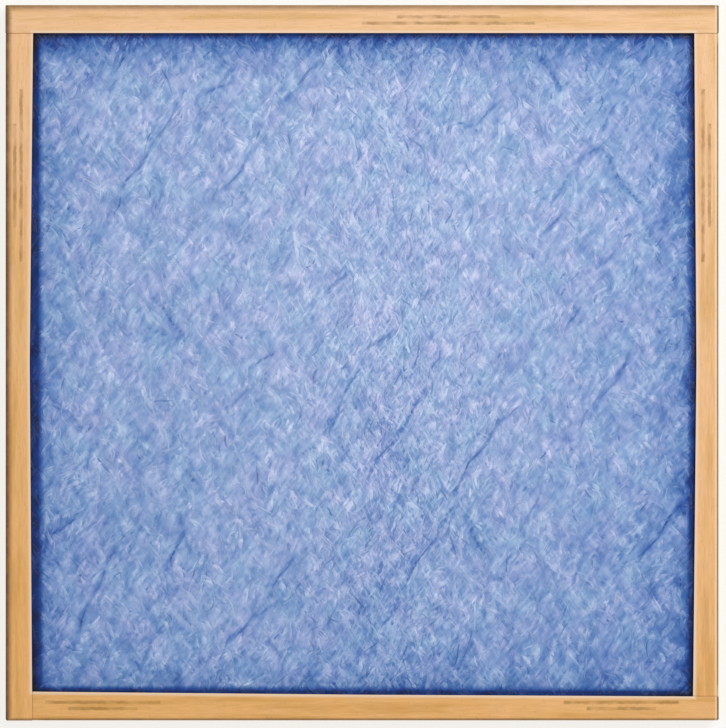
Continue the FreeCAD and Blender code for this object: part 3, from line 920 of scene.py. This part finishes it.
def new_board(tree, place, x, y, grain, streak):
    """The board's colour before its painted shade and highlights: paler towards its top and right, as
    painted light, and in clouds, stained in streaks, shaded by its grain, and flecked with small fibres."""
    # Painted light: paler towards the top and right
    top_right_light = calc(tree, "MULTIPLY_ADD", y, 1.7, calc(tree, "MULTIPLY_ADD", x, 0.55, 0.52))
    clouded = calc(tree, "MULTIPLY_ADD", noise(tree, place, CLOUD_CELLS, 2.0), 0.5, -0.25)
    pale = calc(tree, "ADD", fade(tree, top_right_light, 0.0, 1.0), clouded, clamp=True)
    colour = blend(tree, pale, linear(*BOARD_BROWN), linear(*BOARD_PALE))
    colour = blend(tree, 1.0, colour, ramp(tree, streak, STREAK_STAINS), "MULTIPLY")
    tint = fade(tree, grain, 0.3, 0.7, low=0.935, high=1.045)
    shade = tree.nodes.new("ShaderNodeCombineColor")
    for socket in shade.inputs:
        plug(tree, socket, tint)
    colour = blend(tree, 1.0, colour, shade.outputs[0], "MULTIPLY")
    flecks = tree.nodes.new("ShaderNodeTexVoronoi")
    flecks.inputs["Scale"].default_value = FLECK_CELLS
    flecks.inputs["Randomness"].default_value = 1.0
    tree.links.new(stretched(tree, place, (1.0, 0.45, 1.0)), flecks.inputs["Vector"])
    fleck = fade(tree, flecks.outputs["Distance"], 0.16, 0.08, low=0.0, high=0.28)
    return blend(tree, fleck, colour, linear(*FLECK_BROWN))


def fold_shade(tree, place, z, gaps):
    """How dark the painted shade on the outer folds is: at each side a band that fades away from the fold,
    made uneven.
    """
    low = calc(tree, "MINIMUM", z, calc(tree, "SUBTRACT", FRONT, z))
    wear_and_shade = 0.0
    for side, (strength, width) in FOLD_SHADE.items():
        across = calc(tree, "MULTIPLY", gaps[side], gaps[side])
        from_fold = calc(tree, "SQRT", calc(tree, "ADD", across, calc(tree, "MULTIPLY", low, low)))
        wear_and_shade = calc(tree, "MAXIMUM", fade(tree, from_fold, FOLD_CORE, width, strength, 0.0), wear_and_shade)
    uneven = fade(tree, noise(tree, place, FOLD_SHADE_CELLS, 3.0), 0.25, 0.65, low=0.87, high=1.03)
    return calc(tree, "MULTIPLY", wear_and_shade, uneven)


def lap_shadow_lines(tree, gaps, past, past_side):
    """1 on the painted shadow line just past the free edge of each flange that laps over another one."""
    lap_shade = 0.0
    laps = ((past["top"], past_side), (past["left"], past["bottom"]), (past["bottom"], past["right"]))
    for covering, covered in laps:
        line = near_band(tree, covering, -LAP_OUTSIDE, LAP_HALF, LAP_OUTSIDE)
        line = calc(tree, "MULTIPLY", line, calc(tree, "GREATER_THAN", covered, 0.0))
        lap_shade = calc(tree, "MAXIMUM", line, lap_shade)
    nearest_side = calc(tree, "MINIMUM", gaps["left"], gaps["right"])
    nearest = calc(tree, "MINIMUM", nearest_side, calc(tree, "MINIMUM", gaps["bottom"], gaps["top"]))
    return calc(tree, "MULTIPLY", lap_shade, calc(tree, "GREATER_THAN", nearest, OFF_WALLS))


def board_material():
    """Brown paperboard with lengthwise grain, painted paler towards its top and right, with painted shade
    along its outer folds, a painted shadow beside its laps, and a painted highlight along the front flanges'
    free edges and beside the right fold, with faded ink on the front."""
    material, tree, shader = new_material("paperboard", roughness=0.62, specular=0.35)
    place = object_place(tree)
    split = tree.nodes.new("ShaderNodeSeparateXYZ")
    tree.links.new(place, split.inputs[0])
    x, y, z = split.outputs
    gaps = wall_gaps(tree, x, y)
    past = flange_places(tree, x, y, gaps)
    upright = upright_board(tree, gaps, past)
    grain = board_noise(tree, place, upright, GRAIN_CELLS, GRAIN_DRAWN)
    streak = board_noise(tree, place, upright, STREAK_CELLS, STREAK_DRAWN)
    colour = new_board(tree, place, x, y, grain, streak)
    # Painted shade along the outer folds
    colour = blend(tree, fold_shade(tree, place, z, gaps), colour, linear(*FOLD_SHADE_BROWN))
    # Painted highlight beside the right fold
    right_highlight = near_band(tree, gaps["right"], HIGHLIGHT_INSIDE, HIGHLIGHT_HALF, HIGHLIGHT_HALF)
    colour = blend(tree, calc(tree, "MULTIPLY", right_highlight, HIGHLIGHT_STRENGTH), colour, linear(*HIGHLIGHT_PALE))

    front = calc(tree, "GREATER_THAN", z, FRONT / 2)
    past_side = calc(tree, "MAXIMUM", past["left"], past["right"])
    past_window = calc(tree, "MAXIMUM", past_side, calc(tree, "MAXIMUM", past["bottom"], past["top"]))
    # Painted highlight along the front flanges' free edges
    edge_highlight = fade(tree, past_window, EDGE_HIGHLIGHT_FROM, EDGE_HIGHLIGHT_TO, EDGE_HIGHLIGHT_STRENGTH, 0.0)
    colour = blend(tree, calc(tree, "MULTIPLY", front, edge_highlight), colour, linear(*EDGE_HIGHLIGHT_PALE))
    # Painted shadow line beside each lap
    lap_shade = calc(tree, "MULTIPLY", lap_shadow_lines(tree, gaps, past, past_side), front)
    colour = blend(tree, calc(tree, "MULTIPLY", lap_shade, LAP_SHADOW_STRENGTH), colour, linear(*LAP_SHADOW_BROWN))
    ink = calc(tree, "MULTIPLY", inked(tree, place, x, y), calc(tree, "GREATER_THAN", z, FRONT - INK_REACH))
    colour = blend(tree, calc(tree, "MULTIPLY", ink, INK_STRENGTH), colour, linear(*INK_BROWN))
    tree.links.new(colour, shader.inputs["Base Color"])
    tree.links.new(bump(tree, grain, strength=0.25, depth=0.15 * MM), shader.inputs["Normal"])
    return material


# Floor, camera and light

def make_floor():
    """A white floor, which takes the filter's shadow. To the camera it also shines a little of its own
    white, so that the shadow stays faint."""
    size, level = 12.0, -0.2 * MM
    corners = np.array([[-1, -1], [1, -1], [1, 1], [-1, 1]]) * size
    points = np.insert(corners, 2, level, axis=1)
    material, tree, shader = new_material("floor_white", roughness=1.0, specular=0.0)
    white = linear(252, 251, 247)
    shader.inputs["Base Color"].default_value = white
    glow = tree.nodes.new("ShaderNodeEmission")
    glow.inputs["Color"].default_value = white
    ray = tree.nodes.new("ShaderNodeLightPath").outputs
    mirrored = calc(tree, "ADD", ray["Is Glossy Ray"], ray["Is Transmission Ray"])
    straight = calc(tree, "ADD", ray["Is Camera Ray"], mirrored)
    seen = calc(tree, "MULTIPLY", calc(tree, "MINIMUM", straight, 1.0), 0.8)
    both = tree.nodes.new("ShaderNodeMixShader")
    tree.links.new(seen, both.inputs[0])
    tree.links.new(shader.outputs[0], both.inputs[1])
    tree.links.new(glow.outputs[0], both.inputs[2])
    output = next(node for node in tree.nodes if node.bl_idname == "ShaderNodeOutputMaterial")
    tree.links.new(both.outputs[0], output.inputs[0])
    new_piece("floor", points, [np.array([[0, 1, 2, 3]])], material, False)


def make_camera():
    """Straight above the filter with a long lens, so that the frame's front face fills the picture as in
    the photograph: the lens is as long as the pixel's size at that face asks for."""
    picture = (726, 728)
    pixel = 0.6944 * MM
    aim_x, aim_y = 0.64 * MM, -0.9 * MM
    distance = 3.0
    data = bpy.data.cameras.new("camera")
    data.lens = data.sensor_width * distance / (max(picture) * pixel)
    camera = bpy.data.objects.new("camera", data)
    camera.location = (aim_x, aim_y, FRONT + distance)
    bpy.context.scene.collection.objects.link(camera)
    bpy.context.scene.camera = camera


def add_lamp(name, place, size, power):
    """A square soft lamp that points at the filter."""
    data = bpy.data.lights.new(name, "AREA")
    data.size = size
    data.energy = power
    lamp = bpy.data.objects.new(name, data)
    lamp.location = place
    lamp.rotation_euler = (-Vector(place)).to_track_quat("-Z", "Y").to_euler()
    bpy.context.scene.collection.objects.link(lamp)


def set_light():
    """Plain soft light: a large lamp high over the upper right and an even white surround."""
    world = bpy.data.worlds.new("surround")
    world.use_nodes = True
    surround = world.node_tree.nodes["Background"]
    surround.inputs["Color"].default_value = (1, 1, 1, 1)
    surround.inputs["Strength"].default_value = 0.62
    bpy.context.scene.world = world
    add_lamp("key", place=(0.9, 0.9, 2.1), size=1.0, power=27)


bpy.context.scene.view_settings.view_transform = "Standard"
make_camera()
set_light()
make_floor()

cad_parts["frame"].material_slots[0].material = board_material()

tint = glass_tint_group()
bed = make_bed(bed_material(tint))
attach(bed, "root")
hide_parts("media_pad")

# Each layer of strands: name, seed, number, points a strand, strands in a lock, length, width, the share of
# deep ones outside and inside the crisp band, the share kept outside it, its low and high share of the
# pile, and the face it lies on
STRAND_LAYERS = (
    ("front_strands_low", 101, 6100, 6, 3, 9.5 * MM, 1.9 * MM, (0.0, 0.03), 1.0, 0.0, 0.6, 1),
    ("front_strands_high", 102, 6100, 6, 3, 8.5 * MM, 1.6 * MM, (0.02, 0.05), 1.0, 0.3, 0.9, 1),
    ("front_strands_loose", 103, 4600, 9, 1, 13 * MM, 0.8 * MM, (0.12, 0.6), 0.35, 0.5, 1.0, 1),
    ("back_strands", 104, 6100, 6, 3, 12 * MM, 1.7 * MM, (0.05, 0.05), 1.0, 0.0, 0.8, -1),
)
loose_glass = strand_material(tint)
layers = []
for name, seed, count, points, lock, length, width, deep_share, kept, low, high, up in STRAND_LAYERS:
    rng = np.random.default_rng(seed)
    lines = strand_lines(rng, count, points, lock, length, width, deep_share, kept)
    if up > 0:
        lines = clear_of_partings(*lines)
    layers.append(make_strands(name, rng, lines, width, low, high, up, loose_glass))
# Dark strands laid along the partings, as their painted shade
rng = np.random.default_rng(105)
lines = parting_lines(rng, points=9, each=5)
parting_shade_strands = make_strands(
    "parting_shade_strands", rng, lines, width=0.8 * MM, low=0.3, high=0.7, up=1, material=loose_glass
)
layers.append(parting_shade_strands)
for strands in layers:
    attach(strands, "root")
